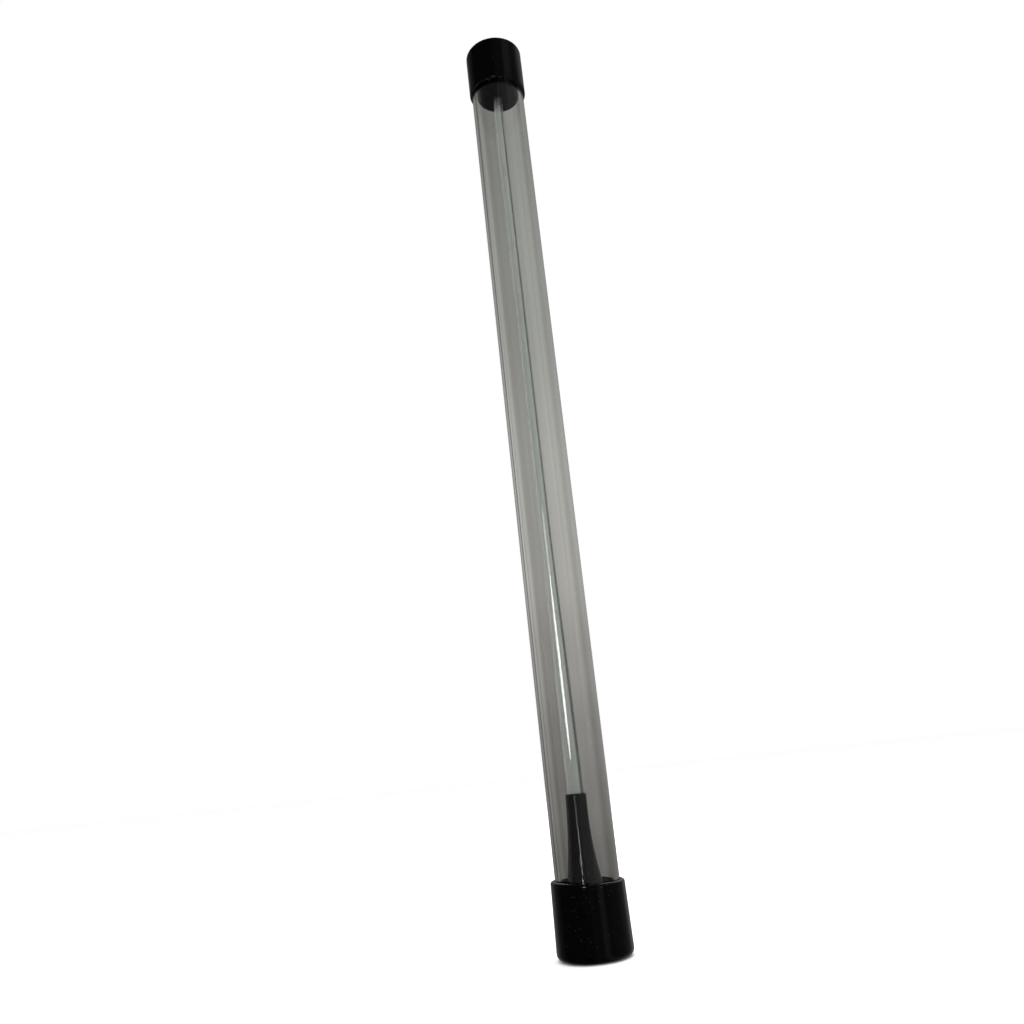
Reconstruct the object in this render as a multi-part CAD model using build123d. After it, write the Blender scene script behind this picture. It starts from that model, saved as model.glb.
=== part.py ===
from build123d import *
import os

# Manual rain gauge: a long clear tube between two slip-on caps, with a slender
# measuring tube standing in a boot on its axis. Millimetres, +Z up, origin at
# the centre of the bottom cap's underside.

# Outer tube: clear acrylic, a stock 30 x 25 mm size
TUBE_R = 15.0
TUBE_BORE_R = 12.5
TUBE_FOOT_Z = 5.0
TUBE_TOP_Z = 490.0
TUBE_EDGE = 0.3

# Slip-on caps
CAP_BORE_R = TUBE_R + 0.05
CAP_END = 2.0
BASE_H = 32.4
BASE_RIM_R = 17.25
BASE_FOOT_R = 17.8
BASE_FOOT_ROUND = 2.4
TOP_RIM_Z = 466.0
TOP_Z = 496.0
TOP_R = 16.25
TOP_END_ROUND = 1.6
RIM_ROUND_OUT = 0.8
RIM_ROUND_IN = 0.25

# Boot: a plug in the tube's bore that narrows upwards into a holder
FLANGE_R = 14.9
FLANGE_H = 2.0
PLUG_R = 12.35
PLUG_BASE_Z = CAP_END + FLANGE_H
BOOT_TOP_Z = 71.7
BOOT_TOP_R = 4.98
BOOT_FLARE_POWER = 2.3
BOOT_FLARE_GAIN = 7.18e-4
BOOT_FLARE_STEPS = 9
BOOT_LIP_ROUND = 0.3
SOCKET_R = 4.07
SOCKET_FLOOR_Z = 8.0

# Seals under and around the tube's foot
GASKET_H = 0.8
GASKET_IN_R = 12.6
RING_R = 0.95
RING_CENTRE_R = TUBE_BORE_R - 0.05 - RING_R
RING_Z = 10.0
GROOVE_R = RING_CENTRE_R - RING_R - 0.05
GROOVE_HALF_W = RING_R + 0.1

# Measuring tube: glass, a wide foot drawn down to a slim stem, closed at the foot
CUSHION_H = 1.5
CUSHION_R = 3.9
GLASS_FOOT_Z = SOCKET_FLOOR_Z + CUSHION_H + 0.2
GLASS_SHOULDER_Z = 80.0
GLASS_STEM_Z = 215.0
GLASS_TOP_Z = 481.0
GLASS_FOOT_R = 3.95
GLASS_STEM_R = 2.6
GLASS_WALL = 0.65
GLASS_FLOOR = 2.2
GLASS_FOOT_ROUND = 1.6
GLASS_LIP_ROUND = 0.3

# Collector funnel: hangs in the tube's mouth, spout inside the measuring tube
FUNNEL_FLANGE_Z = TUBE_TOP_Z + 0.1
FUNNEL_TOP_Z = FUNNEL_FLANGE_Z + 1.5
FUNNEL_SPIGOT_R = 12.4
FUNNEL_SPIGOT_Z = 487.5
FUNNEL_BOWL_R = 11.2
FUNNEL_BOWL_Z = 488.6
FUNNEL_THROAT_Z = 482.9
SPOUT_R = 1.5
SPOUT_BORE_R = 0.9
SPOUT_ROOT_Z = 481.6
SPOUT_TIP_Z = 470.0

# Soft disc inside the top cap's end
LINER_R = 14.8
LINER_GAP = 0.2


def turned(points):
    """Solid of revolution about Z from (radius, height) corners."""
    return revolve(Plane.XZ * make_face(Polyline(*points, close=True)), Axis.Z)


def tube(outer_r, inner_r, z0, z1):
    """Straight ring or sleeve."""
    return turned([(inner_r, z0), (outer_r, z0), (outer_r, z1), (inner_r, z1)])


def disc(radius, z0, z1):
    return turned([(0, z0), (radius, z0), (radius, z1), (0, z1)])


def rims(shape, radius, z):
    """The circular edges of one radius at one height."""
    found = shape.edges().filter_by(GeomType.CIRCLE)
    return [e for e in found if abs(e.radius - radius) < 0.01 and abs(e.arc_center.Z - z) < 0.01]


def rounded(shape, radius, z, size):
    return fillet(rims(shape, radius, z), size)


def make_bottom_cap():
    cup = turned([
        (0, 0), (BASE_FOOT_R, 0), (BASE_RIM_R, BASE_H), (CAP_BORE_R, BASE_H),
        (CAP_BORE_R, CAP_END), (0, CAP_END),
    ])
    cup = rounded(cup, BASE_FOOT_R, 0, BASE_FOOT_ROUND)
    cup = rounded(cup, BASE_RIM_R, BASE_H, RIM_ROUND_OUT)
    return rounded(cup, CAP_BORE_R, BASE_H, RIM_ROUND_IN)


def make_top_cap():
    cup = turned([
        (0, TOP_Z), (TOP_R, TOP_Z), (TOP_R, TOP_RIM_Z), (CAP_BORE_R, TOP_RIM_Z),
        (CAP_BORE_R, TOP_Z - CAP_END), (0, TOP_Z - CAP_END),
    ])
    cup = rounded(cup, TOP_R, TOP_Z, TOP_END_ROUND)
    cup = rounded(cup, TOP_R, TOP_RIM_Z, RIM_ROUND_OUT - 0.2)
    return rounded(cup, CAP_BORE_R, TOP_RIM_Z, RIM_ROUND_IN)


def make_outer_tube():
    shell = tube(TUBE_R, TUBE_BORE_R, TUBE_FOOT_Z, TUBE_TOP_Z)
    ends = [e for z in (TUBE_FOOT_Z, TUBE_TOP_Z) for r in (TUBE_R, TUBE_BORE_R) for e in rims(shell, r, z)]
    return chamfer(ends, TUBE_EDGE)


def boot_radius(depth):
    """Outside radius of the boot at a depth below its top."""
    return BOOT_TOP_R + BOOT_FLARE_GAIN * depth ** BOOT_FLARE_POWER


def make_tube_boot():
    flare_h = ((PLUG_R - BOOT_TOP_R) / BOOT_FLARE_GAIN) ** (1 / BOOT_FLARE_POWER)
    depths = [flare_h * i / BOOT_FLARE_STEPS for i in range(BOOT_FLARE_STEPS + 1)]
    flare = Spline(*[(boot_radius(d), BOOT_TOP_Z - d) for d in depths])
    plug = Polyline(
        (PLUG_R, BOOT_TOP_Z - flare_h), (PLUG_R, RING_Z + GROOVE_HALF_W),
        (GROOVE_R, RING_Z + GROOVE_HALF_W), (GROOVE_R, RING_Z - GROOVE_HALF_W),
        (PLUG_R, RING_Z - GROOVE_HALF_W), (PLUG_R, PLUG_BASE_Z), (FLANGE_R, PLUG_BASE_Z),
        (FLANGE_R, CAP_END), (0, CAP_END), (0, SOCKET_FLOOR_Z), (SOCKET_R, SOCKET_FLOOR_Z),
        (SOCKET_R, BOOT_TOP_Z), (BOOT_TOP_R, BOOT_TOP_Z),
    )
    boot = revolve(Plane.XZ * make_face(flare + plug), Axis.Z)
    return rounded(boot, BOOT_TOP_R, BOOT_TOP_Z, BOOT_LIP_ROUND)


def make_boot_o_ring():
    section = Plane.XZ * Pos(RING_CENTRE_R, RING_Z) * Circle(RING_R)
    return revolve(section, Axis.Z)


def make_measuring_tube():
    foot_bore, stem_bore = GLASS_FOOT_R - GLASS_WALL, GLASS_STEM_R - GLASS_WALL
    glass = turned([
        (0, GLASS_FOOT_Z), (GLASS_FOOT_R, GLASS_FOOT_Z), (GLASS_FOOT_R, GLASS_SHOULDER_Z),
        (GLASS_STEM_R, GLASS_STEM_Z), (GLASS_STEM_R, GLASS_TOP_Z), (stem_bore, GLASS_TOP_Z),
        (stem_bore, GLASS_STEM_Z), (foot_bore, GLASS_SHOULDER_Z),
        (foot_bore, GLASS_FOOT_Z + GLASS_FLOOR), (0, GLASS_FOOT_Z + GLASS_FLOOR),
    ])
    glass = rounded(glass, GLASS_FOOT_R, GLASS_FOOT_Z, GLASS_FOOT_ROUND)
    return rounded(glass, GLASS_STEM_R, GLASS_TOP_Z, GLASS_LIP_ROUND)


def make_collector_funnel():
    return turned([
        (FLANGE_R, FUNNEL_FLANGE_Z), (FLANGE_R, FUNNEL_TOP_Z), (FUNNEL_BOWL_R, FUNNEL_TOP_Z),
        (FUNNEL_BOWL_R, FUNNEL_BOWL_Z), (SPOUT_BORE_R, FUNNEL_THROAT_Z),
        (SPOUT_BORE_R, SPOUT_TIP_Z), (SPOUT_R, SPOUT_TIP_Z), (SPOUT_R, SPOUT_ROOT_Z),
        (FUNNEL_SPIGOT_R, FUNNEL_SPIGOT_Z), (FUNNEL_SPIGOT_R, FUNNEL_FLANGE_Z),
    ])


NODES = {
    "bottom_cap": make_bottom_cap(),
    "tube_boot": make_tube_boot(),
    "base_gasket": tube(FLANGE_R, GASKET_IN_R, PLUG_BASE_Z, PLUG_BASE_Z + GASKET_H),
    "boot_o_ring": make_boot_o_ring(),
    "foot_cushion": disc(CUSHION_R, SOCKET_FLOOR_Z, SOCKET_FLOOR_Z + CUSHION_H),
    "outer_tube": make_outer_tube(),
    "measuring_tube": make_measuring_tube(),
    "collector_funnel": make_collector_funnel(),
    "cap_liner": disc(LINER_R, FUNNEL_TOP_Z + LINER_GAP, TOP_Z - CAP_END),
    "top_cap": make_top_cap(),
}

os.makedirs("parts", exist_ok=True)
for node, shape in NODES.items():
    export_step(shape, f"parts/{node}.step")
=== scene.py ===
import math

import bmesh
import bpy
from mathutils import Matrix, Vector


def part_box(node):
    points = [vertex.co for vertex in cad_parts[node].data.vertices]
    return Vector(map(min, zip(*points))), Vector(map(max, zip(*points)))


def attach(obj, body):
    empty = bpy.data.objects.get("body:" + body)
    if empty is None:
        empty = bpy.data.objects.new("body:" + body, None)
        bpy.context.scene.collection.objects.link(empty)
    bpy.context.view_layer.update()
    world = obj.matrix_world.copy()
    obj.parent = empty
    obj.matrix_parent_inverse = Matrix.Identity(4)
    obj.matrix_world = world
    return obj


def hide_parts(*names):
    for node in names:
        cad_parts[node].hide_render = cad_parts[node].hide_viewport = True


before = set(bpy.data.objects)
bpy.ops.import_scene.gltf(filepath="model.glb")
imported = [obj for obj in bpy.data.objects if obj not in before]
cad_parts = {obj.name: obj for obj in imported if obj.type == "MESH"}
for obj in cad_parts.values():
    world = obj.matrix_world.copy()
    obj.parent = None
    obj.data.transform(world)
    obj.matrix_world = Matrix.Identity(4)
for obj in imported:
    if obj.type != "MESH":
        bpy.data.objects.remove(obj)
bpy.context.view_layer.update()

MM = 0.001

# Lathe
SEGMENTS = 192
ARC_STEPS = 6
RUN_STEP = 6 * MM
END_CUT = 0.04
ON_AXIS = 1e-7

# Clear tube
WALL = 2.5 * MM
TUBE_EDGE = 0.45 * MM

# Slip-on caps
CAP_BORE_R = 15.05 * MM
CAP_END = 2.0 * MM
CAP_LIP = 0.25 * MM
BASE_RIM_R = 17.2 * MM
BASE_FOOT_ROUND = 3.3 * MM
BASE_RIM_ROUND = 1.0 * MM
TOP_END_ROUND = 1.9 * MM
TOP_RIM_ROUND = 0.7 * MM
BASE_INNER_ROUND = 0.2 * MM
TOP_INNER_ROUND = 0.25 * MM
BASE_FOOT_SPARE = 0.04 * MM

# Cap rims: a ripple, and a slanted cut given as (raised all round, tilt towards -X)
RIM_WAVE = 0.12 * MM
RIM_RIPPLE_H = 4 * MM
RIM_SLOPE_H = 20 * MM
BASE_RIM_CUT = (0.0, 0.8 * MM)
TOP_RIM_CUT = (0.7 * MM, 1.0 * MM)

# Boot: radius grows from the lip downwards as depth to a power
BOOT_LIP_R = 4.98 * MM
BOOT_POWER = 2.3
BOOT_GAIN = 7.18e-4
BOOT_PLUG_R = 12.35 * MM
BOOT_SOCKET_R = 4.07 * MM
BOOT_SOCKET_FLOOR = 6.0 * MM
BOOT_FLANGE_H = 2 * MM
BOOT_LIP_ROUND = 0.75 * MM
BOOT_MOUTH_ROUND = 0.1 * MM
BOOT_STEPS = 40

# Measuring tube: a wide foot drawn down to a slim stem
GLASS_WALL = 0.65 * MM
GLASS_STEM_R = 2.6 * MM
GLASS_SHOULDER_Z = 80 * MM
GLASS_STEM_Z = 215 * MM
GLASS_NECK_STEPS = 16
GLASS_FLOOR = 2.2 * MM
GLASS_FOOT_ROUND = 1.7 * MM
GLASS_LIP_ROUND = 0.3 * MM
PAD_ROUND = 0.3 * MM

# The soft boot stands a little off centre and holds the measuring tube there
CORE_SHIFT = -0.9 * MM
BOOT_BELLY = -0.4 * MM
BOOT_STRAIGHT_Z = (10 * MM, 36 * MM)
BOOT_BELLY_Z = (20 * MM, 70 * MM)
GLASS_RETURN_Z = (442 * MM, 468 * MM)

# The glass is milky up to its neck and clear above it, where its colour is darkened as painted shade under
# the cap; a stripe of painted shade faces right and a little forward
GLASS_CLEAR_SHADED_Z = (456 * MM, 469 * MM)
GLASS_MILKY = 0.84
SHADE_STRIPE_FACES = (0.86, -0.51, 0.0)
SHADE_STRIPE_EDGE = (0.935, 0.975)

# Floor
FLOOR_REACH = 6.0
FLOOR_PALE = (0.93, 0.93, 0.93, 1)
FLOOR_PALER = (0.95, 0.95, 0.95, 1)

# Lights: place, point aimed at, size, watts
SOFTBOX = ((-0.222, -1.178, 0.247), (0, 0, 0.14), (0.17, 0.325), 1.3)
UPPER_GLOW = ((-0.222, -1.178, 0.465), (0, 0, 0.22), (0.13, 0.15), 0.17)
LOW_STRIP = ((-0.052, -0.228, 0.041), (0, 0, 0.05), (0.006, 0.046), 0.0016)
OVERHEAD = ((0.2, 0.3, 1.6), (0, 0, 0), (1.6, 1.6), 24)

# Camera, angles in degrees
CAMERA_AT = (0.0, -0.452, 0.0874)
CAMERA_PITCH = 15.54
CAMERA_YAW = 2.08
CAMERA_ROLL = -6.53
LENS = 31.9
SENSOR = 36.0


def grey(*stops):
    """Ramp stops of plain grey from (position, level) pairs."""
    return [(at, (level, level, level)) for at, level in stops]


# The studio, as colour along a direction's height, its side (0 is -X) and its depth (0 is -Y).
# ROOM is what is seen through the clear tubes, and GLOSS is what the black pieces reflect.
ROOM_BY_HEIGHT = [
    (0.00, (0.34, 0.34, 0.33)), (0.36, (0.26, 0.26, 0.25)), (0.445, (0.135, 0.130, 0.122)),
    (0.48, (0.190, 0.184, 0.174)), (0.512, (0.235, 0.228, 0.216)), (0.55, (0.31, 0.302, 0.287)),
    (0.60, (0.40, 0.392, 0.374)), (0.65, (0.405, 0.402, 0.384)), (0.74, (0.325, 0.33, 0.31)),
    (0.82, (0.265, 0.27, 0.253)), (1.00, (0.30, 0.30, 0.29)),
]
ROOM_BY_SIDE = grey(
    (0.00, 1.4), (0.17, 1.35), (0.205, 0.45), (0.245, 0.45), (0.285, 1.1), (0.355, 1.22), (0.42, 0.86),
    (0.49, 0.88), (0.53, 1.25), (0.58, 1.2), (0.64, 1.0), (0.72, 0.95),
    (0.79, 1.08), (0.87, 0.95), (1.00, 0.6),
)
ROOM_FRONT = grey((0.0, 0.0), (0.42, 0.0), (0.60, 1.0))
FRONT_BY_SIDE = grey((0.0, 0.14), (0.40, 0.16), (0.60, 0.25), (1.0, 0.30))
GLOSS_BY_SIDE = grey(
    (0.0, 0.006), (0.49, 0.006), (0.52, 0.035), (0.71, 0.03), (0.77, 0.13), (0.82, 0.12),
    (0.88, 0.03), (1.0, 0.05),
)
GLOSS_BEHIND = grey((0.0, 0.0), (0.5, 0.0), (0.72, 0.05), (0.9, 0.20))
BACKDROP = (1, 1, 1, 1)
FILL = (1.05, 1.05, 1.05, 1)


# ---------------------------------------------------------------- outlines

def soften(corners):
    """Outline points from (radius, height, rounding) corners, each rounded by an arc."""
    points = []
    count = len(corners)
    for i, (r, z, rounding) in enumerate(corners):
        here = Vector((r, z))
        if rounding == 0:
            points.append(here)
            continue
        back = (Vector(corners[i - 1][:2]) - here).normalized()
        ahead = (Vector(corners[(i + 1) % count][:2]) - here).normalized()
        half = back.angle(ahead) / 2
        reach = rounding / math.tan(half)
        centre = here + (back + ahead).normalized() * (rounding / math.sin(half))
        start = here + back * reach - centre
        turn = start.angle_signed(here + ahead * reach - centre)
        for step in range(ARC_STEPS + 1):
            points.append(centre + Matrix.Rotation(-turn * step / ARC_STEPS, 2) @ start)
    return points


def stepped(points, closed, step=RUN_STEP):
    """The same outline with its long runs cut up, and a cut close to each end of a run."""
    ends = points[1:] + points[:1] if closed else points[1:]
    out = []
    for a, b in zip(points, ends):
        out.append(a)
        length = (b - a).length
        if length > step:
            cuts = math.ceil(length / step)
            near = END_CUT * step / length
            shares = [near] + [i / cuts for i in range(1, cuts)] + [1 - near]
            out += [a.lerp(b, share) for share in shares]
    return out if closed else out + [points[-1]]


def smooth(value, low, high):
    """0 below low, 1 above high, and an even S between."""
    share = min(1.0, max(0.0, (value - low) / (high - low)))
    return share * share * (3 - 2 * share)


def lathe(name, corners, closed, wave=None, drift=None):
    """A mesh piece turned about Z. An open outline starts and ends on the axis.

    wave(angle, z) lifts a point, and drift(r, z) carries its ring sideways along X."""
    outline = stepped(soften(corners), closed)
    mesh = bmesh.new()
    rings = []
    for r, z in outline:
        aside = drift(r, z) if drift else 0.0
        if r < ON_AXIS:
            rings.append([mesh.verts.new((aside, 0, z))])
            continue
        ring = []
        for i in range(SEGMENTS):
            angle = 2 * math.pi * i / SEGMENTS
            lift = wave(angle, z) if wave else 0.0
            ring.append(mesh.verts.new((aside + r * math.cos(angle), r * math.sin(angle), z + lift)))
        rings.append(ring)
    pairs = zip(rings, rings[1:] + rings[:1]) if closed else zip(rings, rings[1:])
    for low, high in pairs:
        for i in range(SEGMENTS):
            j = (i + 1) % SEGMENTS
            corner = [low[i % len(low)], low[j % len(low)], high[j % len(high)], high[i % len(high)]]
            mesh.faces.new(list(dict.fromkeys(corner)))
    bmesh.ops.recalc_face_normals(mesh, faces=mesh.faces)
    data = bpy.data.meshes.new(name)
    mesh.to_mesh(data)
    mesh.free()
    data.shade_smooth()
    piece = bpy.data.objects.new(name, data)
    bpy.context.scene.collection.objects.link(piece)
    return piece


def place(piece, node, body, material):
    """The piece stands for a CAD node, rides on its body and wears the material."""
    piece.data.materials.append(material)
    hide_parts(node)
    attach(piece, body)
    return piece


# ---------------------------------------------------------------- materials

def plug(tree, value, socket):
    """Link another node's output to the socket, or give the socket a plain value."""
    if isinstance(value, bpy.types.NodeSocket):
        tree.links.new(value, socket)
    else:
        socket.default_value = value


def add_node(tree, kind, inputs=None, **settings):
    """A new node with its settings made and its inputs plugged."""
    node = tree.nodes.new(kind)
    for key, value in settings.items():
        setattr(node, key, value)
    for key, value in (inputs or {}).items():
        plug(tree, value, node.inputs[key])
    return node


class Nodes:
    """A material's node tree, with short calls to add and join nodes."""

    def __init__(self, name):
        self.material = bpy.data.materials.new(name)
        self.material.use_nodes = True
        self.tree = self.material.node_tree
        self.shader = self.tree.nodes["Principled BSDF"]
        self.coords = self.add("ShaderNodeTexCoord").outputs["Object"]

    def add(self, kind, inputs=None, **settings):
        return add_node(self.tree, kind, inputs, **settings)

    def set(self, **values):
        for key, value in values.items():
            plug(self.tree, value, self.shader.inputs[key.replace("_", " ")])

    def noise(self, scale, detail=2.0, along=None, roughness=0.5):
        """Noise, stretched or squeezed along Z where along is given."""
        vector = self.coords
        if along is not None:
            vector = self.add("ShaderNodeMapping", {"Vector": vector, "Scale": (1, 1, along)}).outputs[0]
        inputs = {"Vector": vector, "Scale": scale, "Detail": detail, "Roughness": roughness}
        return self.add("ShaderNodeTexNoise", inputs).outputs["Fac"]

    def ramp(self, value, low, high, start=0.0, end=1.0):
        """The value between low and high, mapped onto start to end and held there outside."""
        inputs = {"Value": value, "From Min": low, "From Max": high, "To Min": start, "To Max": end}
        return self.add("ShaderNodeMapRange", inputs, interpolation_type="SMOOTHSTEP").outputs[0]

    def math(self, operation, a, b):
        return self.add("ShaderNodeMath", {0: a, 1: b}, operation=operation).outputs[0]

    def mix(self, factor, a, b):
        return self.add("ShaderNodeMix", {0: factor, 6: a, 7: b}, data_type="RGBA").outputs[2]

    def specks(self, scale, size, keep):
        """Small round specks: 1 on a speck and 0 off it, on a share of the cells."""
        cell = self.add("ShaderNodeTexVoronoi", {"Vector": self.coords, "Scale": scale})
        spot = self.ramp(cell.outputs["Distance"], size * 0.5, size, 1.0, 0.0)
        pick = self.add("ShaderNodeSeparateColor", {0: cell.outputs["Color"]}).outputs[0]
        return self.math("MULTIPLY", spot, self.math("GREATER_THAN", pick, 1 - keep))

    def vector(self, operation, a, b=None):
        inputs = {0: a} if b is None else {0: a, 1: b}
        output = "Value" if operation == "DOT_PRODUCT" else "Vector"
        return self.add("ShaderNodeVectorMath", inputs, operation=operation).outputs[output]

    def bump(self, height, distance, strength=1.0, under=None):
        inputs = {"Height": height, "Distance": distance, "Strength": strength}
        if under:
            inputs["Normal"] = under
        return self.add("ShaderNodeBump", inputs).outputs[0]


def vinyl(name, base, gloss, peel, specular=0.5, sag=0.35):
    """Dipped black vinyl: glossy, faint orange peel, soft sink marks, dust and rub marks."""
    n = Nodes(name)
    dust = n.specks(scale=900, size=0.16, keep=0.22)
    lint = n.specks(scale=340, size=0.09, keep=0.12)
    rubs = n.ramp(n.noise(120, detail=4.0, along=5, roughness=0.7), 0.56, 0.78)
    haze = n.ramp(n.noise(45, detail=3.0), 0.35, 0.75)
    dark = (base, base, base * 1.05, 1)
    worn = (base * 3, base * 3, base * 3, 1)
    pale = (0.12, 0.118, 0.11, 1)
    colour = n.mix(n.math("MULTIPLY", rubs, 0.6), dark, worn)
    colour = n.mix(n.math("MULTIPLY", n.math("MAXIMUM", dust, lint), 0.35), colour, pale)
    rough = n.math("ADD", n.ramp(haze, 0, 1, gloss, gloss + 0.05), n.math("MULTIPLY", rubs, 0.10))
    sink = n.bump(n.noise(70, detail=1.5), distance=0.12 * MM, strength=sag)
    skin = n.bump(n.noise(1500), distance=0.010 * MM, strength=peel, under=sink)
    n.set(Base_Color=colour, Roughness=rough, Normal=skin, IOR=1.5, Specular_IOR_Level=specular)
    return n.material


def clear_acrylic():
    """Extruded acrylic: faint lengthwise draw lines and streaks, smears, dust and flecks."""
    n = Nodes("clear_acrylic")
    clean, streaked = (0.985, 0.99, 0.983, 1), (0.885, 0.885, 0.872, 1)
    smeared, dusty = (0.90, 0.91, 0.90, 1), (0.75, 0.75, 0.72, 1)
    lines = n.noise(260, along=0.012)
    broad = n.noise(90, along=0.05)
    hairs = n.noise(950, detail=1.0, along=0.008)
    smear = n.ramp(n.noise(38, detail=4.0, along=0.45, roughness=0.65), 0.54, 0.80)
    dust = n.specks(scale=520, size=0.085, keep=0.10)
    fleck = n.specks(scale=1100, size=0.10, keep=0.05)
    streak = n.math("ADD", n.ramp(lines, 0.36, 0.66, 0.0, 0.6), n.ramp(hairs, 0.4, 0.7, 0.0, 0.4))
    tint = n.mix(smear, n.mix(streak, clean, streaked), smeared)
    colour = n.mix(n.math("MULTIPLY", n.math("MAXIMUM", dust, fleck), 0.5), tint, dusty)
    rough = n.math("ADD", n.ramp(smear, 0, 1, 0.012, 0.055), n.math("MULTIPLY", dust, 0.25))
    waves = n.bump(n.math("ADD", lines, broad), distance=0.012 * MM, strength=0.5)
    grit = n.bump(n.math("MAXIMUM", dust, fleck), distance=0.02 * MM, strength=0.6, under=waves)
    n.set(Base_Color=colour, Roughness=rough, Normal=grit, IOR=1.49, Transmission_Weight=1.0)
    return n.material


def green_glass():
    """Drawn soda glass: faint milky green, seeds and draw lines, a stripe of painted shade on its right
    side, and painted shade at its neck.
    """
    n = Nodes("measuring_glass")
    green, pale_green, seed = (0.925, 0.962, 0.938, 1), (0.955, 0.980, 0.962, 1), (0.95, 0.97, 0.95, 1)
    # The next two greys are painted shade: the first darkens the stripe on the glass's right side, the
    # second the neck under the cap.
    painted_shade, shaded_neck = (0.37, 0.39, 0.37, 1), (0.42, 0.43, 0.42, 1)
    lines = n.noise(420, along=0.015)
    body = n.noise(30, along=0.2)
    seeds = n.specks(scale=700, size=0.10, keep=0.05)
    colour = n.mix(n.math("MULTIPLY", seeds, 0.5), n.mix(body, green, pale_green), seed)
    centred = n.vector("ADD", n.coords, (-CORE_SHIFT, 0, 0))
    outward = n.vector("NORMALIZE", n.vector("MULTIPLY", centred, (1, 1, 0)))
    facing = n.vector("DOT_PRODUCT", outward, SHADE_STRIPE_FACES)
    # The stripe on the side facing right and a little forward is painted shade, standing in for the glass's
    # shaded right edge.
    shade_stripe = n.ramp(n.math("ADD", facing, n.math("MULTIPLY", lines, 0.02)), *SHADE_STRIPE_EDGE)
    # Above the neck the glass turns clear and its colour goes to a dark grey, which is painted shade where
    # the cap shuts out the light.
    neck = n.ramp(n.add("ShaderNodeSeparateXYZ", {0: n.coords}).outputs["Z"], *GLASS_CLEAR_SHADED_Z)
    colour = n.mix(neck, n.mix(shade_stripe, colour, painted_shade), shaded_neck)
    rough = n.ramp(body, 0.3, 0.8, 0.01, 0.03)
    waves = n.bump(lines, distance=0.010 * MM, strength=0.5)
    grit = n.bump(seeds, distance=0.02 * MM, strength=0.5, under=waves)
    n.set(Base_Color=colour, Roughness=rough, Normal=grit, IOR=1.51)
    n.set(Transmission_Weight=n.ramp(neck, 0, 1, GLASS_MILKY, 1.0))
    return n.material


def moulded(name, base, rough_low, rough_high, grain, depth):
    """Satin moulded plastic, rubber or foam: fine grain, mottled sheen and dust."""
    n = Nodes(name)
    mottle = n.noise(160, detail=4.0)
    dust = n.specks(scale=900, size=0.14, keep=0.15)
    light = tuple(min(1, c * 1.7 + 0.004) for c in base)
    dusty = (0.2, 0.2, 0.19, 1)
    colour = n.mix(n.ramp(mottle, 0.3, 0.8), (*base, 1), (*light, 1))
    colour = n.mix(n.math("MULTIPLY", dust, 0.3), colour, dusty)
    rough = n.ramp(mottle, 0.25, 0.8, rough_low, rough_high)
    skin = n.bump(n.noise(grain, detail=3.0), distance=depth, strength=0.5)
    n.set(Base_Color=colour, Roughness=rough, Normal=skin, IOR=1.5)
    return n.material


# ---------------------------------------------------------------- pieces

def rim_wave(rim_z, side, raised, tilt):
    """Soft caps are cut a little crooked: the rim rises towards -X and ripples."""
    def wave(angle, z):
        away = abs(z - rim_z)
        swell = 0.6 * math.sin(2 * angle + 0.7) + 0.4 * math.sin(5 * angle)
        ripple = max(0.0, 1 - away / RIM_RIPPLE_H) * (swell - 1)
        slope = 1 - smooth(away, 0, RIM_SLOPE_H)
        return side * RIM_WAVE * ripple + slope * (raised + tilt * (1 - math.cos(angle)))
    return wave


def make_outer_tube(material):
    low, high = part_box("outer_tube")
    r, z0, z1 = high.x, low.z, high.z
    corners = [(r - WALL, z0, TUBE_EDGE), (r, z0, TUBE_EDGE), (r, z1, TUBE_EDGE), (r - WALL, z1, TUBE_EDGE)]
    return place(lathe("clear_tube", corners, True), "outer_tube", "tube", material)


def glass_drift(r, z):
    """The glass stands at the boot's shift, and is back on the axis where the spout enters."""
    return CORE_SHIFT * (1 - smooth(z, *GLASS_RETURN_Z))


def boot_drift(r, z):
    """The socket stands straight at its shift; outside, the boot leans out to it from its plug."""
    if r < BOOT_SOCKET_R + BOOT_LIP_ROUND:
        return CORE_SHIFT
    low, high = BOOT_BELLY_Z
    belly = math.sin(math.pi * min(1.0, max(0.0, (z - low) / (high - low))))
    return CORE_SHIFT * smooth(z, *BOOT_STRAIGHT_Z) + BOOT_BELLY * belly


def make_measuring_tube(material):
    low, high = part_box("measuring_tube")
    foot_r, z0, z1 = high.x, low.z, high.z
    neck = []
    for i in range(GLASS_NECK_STEPS + 1):
        share = i / GLASS_NECK_STEPS
        r = foot_r + (GLASS_STEM_R - foot_r) * smooth(share, 0, 1)
        neck.append((r, GLASS_SHOULDER_Z + (GLASS_STEM_Z - GLASS_SHOULDER_Z) * share))
    corners = [(0, z0, 0), (foot_r, z0, GLASS_FOOT_ROUND)]
    corners += [(r, z, 0) for r, z in neck]
    corners += [(GLASS_STEM_R, z1, GLASS_LIP_ROUND), (GLASS_STEM_R - GLASS_WALL, z1, GLASS_LIP_ROUND)]
    corners += [(r - GLASS_WALL, z, 0) for r, z in reversed(neck)]
    corners += [(foot_r - GLASS_WALL, z0 + GLASS_FLOOR, GLASS_FOOT_ROUND), (0, z0 + GLASS_FLOOR, 0)]
    piece = lathe("measuring_glass", corners, False, drift=glass_drift)
    return place(piece, "measuring_tube", "measure", material)


def boot_radius(depth):
    """Outside radius of the boot at a depth below its lip."""
    return BOOT_LIP_R + BOOT_GAIN * (depth / MM) ** BOOT_POWER * MM


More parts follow.
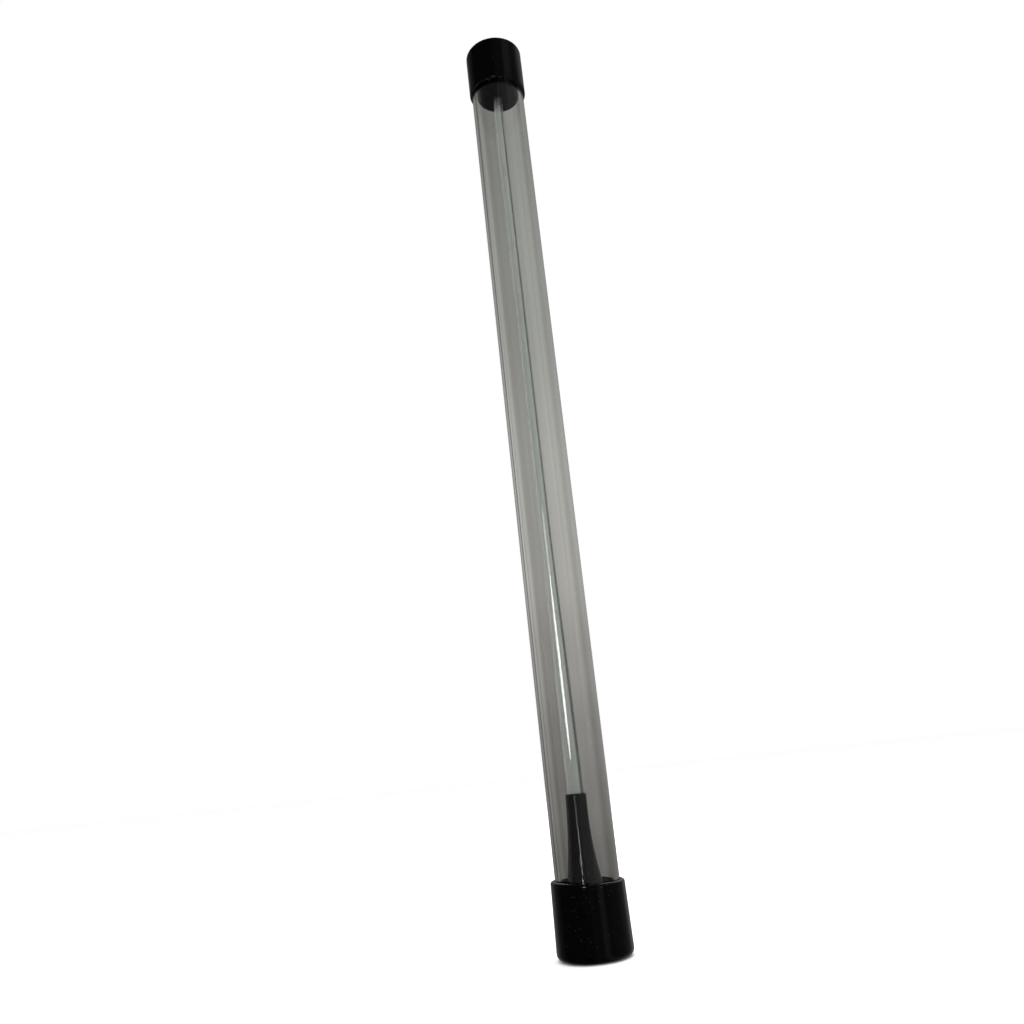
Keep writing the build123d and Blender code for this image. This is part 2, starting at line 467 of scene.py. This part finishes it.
def make_boot(material):
    low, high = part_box("tube_boot")
    flare_h = ((BOOT_PLUG_R - BOOT_LIP_R) / MM / BOOT_GAIN) ** (1 / BOOT_POWER) * MM
    depths = [flare_h * (BOOT_STEPS - i) / BOOT_STEPS for i in range(BOOT_STEPS)]
    flange_top = low.z + BOOT_FLANGE_H
    corners = [(0, low.z, 0), (high.x, low.z, 0), (high.x, flange_top, 0), (BOOT_PLUG_R, flange_top, 0)]
    corners += [(boot_radius(depth), high.z - depth, 0) for depth in depths]
    corners += [
        (BOOT_LIP_R, high.z, BOOT_LIP_ROUND), (BOOT_SOCKET_R, high.z, BOOT_MOUTH_ROUND),
        (BOOT_SOCKET_R, low.z + BOOT_SOCKET_FLOOR, 0), (0, low.z + BOOT_SOCKET_FLOOR, 0),
    ]
    piece = lathe("tube_boot_body", corners, False, drift=boot_drift)
    return place(piece, "tube_boot", "base", material)


def make_foot_pad(material):
    low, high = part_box("foot_cushion")
    corners = [(0, low.z, 0), (high.x, low.z, PAD_ROUND), (high.x, high.z, PAD_ROUND), (0, high.z, 0)]
    piece = lathe("foot_pad", corners, False, drift=lambda r, z: CORE_SHIFT)
    return place(piece, "foot_cushion", "base", material)


def make_bottom_cap(material):
    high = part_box("bottom_cap")[1]
    foot_r, rim = high.x + BASE_FOOT_SPARE, high.z
    corners = [
        (0, 0, 0), (foot_r, 0, BASE_FOOT_ROUND), (BASE_RIM_R, rim, BASE_RIM_ROUND),
        (CAP_BORE_R, rim, CAP_LIP), (CAP_BORE_R, CAP_END, BASE_INNER_ROUND), (0, CAP_END, 0),
    ]
    piece = lathe("bottom_cap_shell", corners, False, rim_wave(rim, 1, *BASE_RIM_CUT))
    return place(piece, "bottom_cap", "base", material)


def make_top_cap(material):
    low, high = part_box("top_cap")
    r, rim, top = high.x, low.z, high.z
    corners = [
        (0, top - CAP_END, 0), (CAP_BORE_R, top - CAP_END, TOP_INNER_ROUND), (CAP_BORE_R, rim, CAP_LIP),
        (r, rim, TOP_RIM_ROUND), (r, top, TOP_END_ROUND), (0, top, 0),
    ]
    piece = lathe("top_cap_shell", corners, False, rim_wave(rim, -1, *TOP_RIM_CUT))
    return place(piece, "top_cap", "cap", material)


def dress_cad_nodes(materials):
    """Pieces whose CAD shape is right keep it and get their material."""
    for node, material in materials.items():
        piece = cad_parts[node]
        piece.data.shade_smooth()
        piece.data.materials.clear()
        piece.data.materials.append(material)


# ---------------------------------------------------------------- stage

def make_floor():
    data = bpy.data.meshes.new("floor")
    side = FLOOR_REACH
    corners = [(-side, -side, 0), (side, -side, 0), (side, side, 0), (-side, side, 0)]
    data.from_pydata(corners, [], [(0, 1, 2, 3)])
    floor = bpy.data.objects.new("floor", data)
    bpy.context.scene.collection.objects.link(floor)
    n = Nodes("pale_floor")
    colour = n.mix(n.noise(3, detail=3.0), FLOOR_PALE, FLOOR_PALER)
    n.set(Base_Color=colour, Roughness=0.9, Specular_IOR_Level=0.0)
    data.materials.append(n.material)
    floor.visible_transmission = False
    floor.visible_glossy = False


def make_world():
    """White to the camera; a soft grey room to what the clear tubes and the gloss pick up."""
    world = bpy.data.worlds.new("studio")
    bpy.context.scene.world = world
    world.use_nodes = True
    tree = world.node_tree
    tree.nodes.clear()

    def add(kind, inputs=None, **settings):
        return add_node(tree, kind, inputs, **settings)

    def tone(value, stops):
        """The value from 0 to 1 turned into a colour by a ramp."""
        ramp = add("ShaderNodeValToRGB", {0: value})
        ramp.color_ramp.interpolation = "EASE"
        elements = ramp.color_ramp.elements
        while len(elements) < len(stops):
            elements.new(0.5)
        for element, (at, colour) in zip(elements, stops):
            element.position = at
            element.color = (*colour, 1)
        return ramp.outputs[0]

    def share(value):
        """A direction's -1 to 1 as 0 to 1."""
        return add("ShaderNodeMath", {0: value, 1: 0.5, 2: 0.5}, operation="MULTIPLY_ADD").outputs[0]

    def mix(factor, a, b, blend_type="MIX"):
        inputs = {0: factor, 6: a, 7: b}
        return add("ShaderNodeMix", inputs, data_type="RGBA", blend_type=blend_type).outputs[2]

    generated = add("ShaderNodeTexCoord").outputs["Generated"]
    direction = add("ShaderNodeSeparateXYZ", {0: generated})
    across, depth, height = (share(direction.outputs[axis]) for axis in "XYZ")
    room = mix(1.0, tone(height, ROOM_BY_HEIGHT), tone(across, ROOM_BY_SIDE), "MULTIPLY")
    seen = mix(tone(depth, ROOM_FRONT), tone(across, FRONT_BY_SIDE), room)
    gloss = mix(1.0, tone(across, GLOSS_BY_SIDE), tone(depth, GLOSS_BEHIND), "ADD")
    path = add("ShaderNodeLightPath")
    bounces = path.outputs["Diffuse Depth"]
    lit = add("ShaderNodeMath", {0: bounces, 1: 0.5}, operation="GREATER_THAN").outputs[0]
    colour = mix(path.outputs["Is Transmission Ray"], gloss, seen)
    colour = mix(lit, colour, FILL)
    colour = mix(path.outputs["Is Camera Ray"], colour, BACKDROP)
    background = add("ShaderNodeBackground", {0: colour})
    add("ShaderNodeOutputWorld", {0: background.outputs[0]})
    world.cycles.sampling_method = "NONE"


def make_light(name, at, aim, size, energy, shape="RECTANGLE"):
    data = bpy.data.lights.new(name, "AREA")
    data.shape = shape
    data.size, data.size_y = size
    data.energy = energy
    lamp = bpy.data.objects.new(name, data)
    lamp.location = at
    lamp.rotation_euler = (Vector(aim) - Vector(at)).to_track_quat("-Z", "Y").to_euler()
    lamp.visible_camera = False
    bpy.context.scene.collection.objects.link(lamp)
    return lamp


def make_lights():
    """A softbox left of the camera with a dim lamp above it, a slim low strip, and a broad overhead."""
    make_light("softbox", *SOFTBOX, "ELLIPSE")
    make_light("upper_glow", *UPPER_GLOW, "ELLIPSE")
    make_light("low_strip", *LOW_STRIP)
    overhead = make_light("overhead", *OVERHEAD)
    overhead.visible_transmission = False
    overhead.visible_glossy = False


def make_camera():
    data = bpy.data.cameras.new("camera")
    data.lens = LENS
    data.sensor_width = SENSOR
    camera = bpy.data.objects.new("camera", data)
    pitch = Matrix.Rotation(math.radians(90 + CAMERA_PITCH), 4, "X")
    yaw = Matrix.Rotation(math.radians(CAMERA_YAW), 4, "Y")
    roll = Matrix.Rotation(math.radians(CAMERA_ROLL), 4, "Z")
    camera.matrix_world = Matrix.Translation(CAMERA_AT) @ pitch @ yaw @ roll
    bpy.context.scene.collection.objects.link(camera)
    bpy.context.scene.camera = camera


def main():
    scene = bpy.context.scene
    scene.view_settings.view_transform = "Standard"
    cap_vinyl = vinyl("cap_vinyl", base=0.0009, gloss=0.11, peel=0.5)
    boot_vinyl = vinyl("boot_vinyl", base=0.0010, gloss=0.12, peel=0.15, specular=0.3, sag=0.12)
    rubber = moulded("seal_rubber", (0.012, 0.012, 0.012), 0.55, 0.8, grain=900, depth=0.02 * MM)
    plastic = moulded("funnel_plastic", (0.014, 0.014, 0.015), 0.35, 0.5, grain=1400, depth=0.008 * MM)
    foam = moulded("liner_foam", (0.035, 0.035, 0.035), 0.8, 0.95, grain=700, depth=0.06 * MM)
    make_outer_tube(clear_acrylic())
    make_measuring_tube(green_glass())
    make_boot(boot_vinyl)
    make_bottom_cap(cap_vinyl)
    make_top_cap(cap_vinyl)
    make_foot_pad(rubber)
    dress_cad_nodes({
        "collector_funnel": plastic, "cap_liner": foam, "base_gasket": rubber, "boot_o_ring": rubber,
    })
    make_floor()
    make_world()
    make_lights()
    make_camera()


main()
